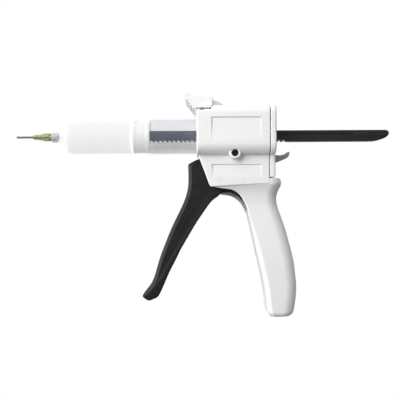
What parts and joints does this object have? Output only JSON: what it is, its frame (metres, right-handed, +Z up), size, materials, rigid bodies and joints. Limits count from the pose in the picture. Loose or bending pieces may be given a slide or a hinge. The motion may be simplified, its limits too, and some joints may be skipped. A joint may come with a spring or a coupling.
{
  "type": "ratchet syringe dispensing gun",
  "caption": "Hand-held ratchet gun that pushes paste from a 30 cc luer syringe barrel through a blunt needle.",
  "frame": {"origin": "middle of the grip, on the gun's plane of symmetry", "axes": "+X back along the rack, away from the needle; +Y across the gun; +Z up"},
  "size_m": [0.2688, 0.045, 0.1582],
  "materials": {
    "white_housing": "fine spark-eroded satin",
    "white_cover": "smooth satin",
    "black_trigger": "satin, glass-filled",
    "black_rack": "slick satin",
    "grey_lever": "satin",
    "clear_barrel": "translucent natural",
    "white_piston": "waxy satin",
    "paste": "smooth wet",
    "olive_hub": "glossy tinted translucent",
    "bright_steel": "bright",
    "pawl_steel": "hardened, dull",
    "spring_steel": "drawn wire",
    "black_steel": "black oxide"
  },
  "bodies": {
    "root": {"housing": "white_housing", "rear_cover": "white_cover", "cover_screw_1": "bright_steel", "cover_screw_2": "bright_steel", "cover_screw_3": "bright_steel", "cover_screw_4": "bright_steel", "barrel": "clear_barrel", "needle_hub": "olive_hub", "needle_tube": "bright_steel", "paste_charge": "paste", "pivot_screw": "black_steel", "pivot_nut": "bright_steel", "pivot_bush": "bright_steel", "pivot_spacer_near": "black_rack", "pivot_spacer_far": "black_rack", "front_guide": "black_rack", "brake_keeper": "black_rack", "brake_spring": "spring_steel", "trigger_spring": "spring_steel", "latch_pin": "bright_steel"},
    "trigger": {"trigger": "black_trigger"},
    "pawl_pin": {"pawl_pin": "bright_steel", "pawl_cradle": "pawl_steel"},
    "pawl": {"pawl": "pawl_steel", "release_lever": "grey_lever", "pawl_spring": "spring_steel"},
    "rack": {"rack": "black_rack", "push_disc": "black_rack", "push_disc_screw": "bright_steel", "piston": "white_piston"},
    "latch": {"latch": "white_cover"}
  },
  "joints": [
    {"name": "trigger_hinge", "type": "hinge", "parent": "root", "child": "trigger", "pos_m": [-0.0295, 0, 0.0651], "axis": [0, -1, 0], "range_deg": [0, 28], "stiffness_Nm_per_rad": 0.5, "springref_deg": -11.46, "deforming": ["trigger_spring"]},
    {"name": "pawl_level", "type": "hinge", "parent": "trigger", "child": "pawl_pin", "pos_m": [-0.02785, 0, 0.07172], "axis": [0, -1, 0], "range_deg": [-28, 0]},
    {"name": "pawl_release", "type": "hinge", "parent": "pawl_pin", "child": "pawl", "pos_m": [-0.02785, 0, 0.07172], "axis": [0, -1, 0], "range_deg": [-4.7, 4], "stiffness_Nm_per_rad": 0.2, "deforming": ["pawl_spring"]},
    {"name": "rack_slide", "type": "slide", "parent": "root", "child": "rack", "axis": [-1, 0, 0], "range_m": [-0.0363, 0.0429], "deforming": ["paste_charge"]},
    {"name": "latch_hinge", "type": "hinge", "parent": "root", "child": "latch", "pos_m": [-0.0356, 0, 0.0978], "axis": [0, 1, 0], "range_deg": [0, 75]}
  ],
  "couplings": [
    {"joint": "pawl_level", "follows": "trigger_hinge", "ratio": -1}
  ]
}
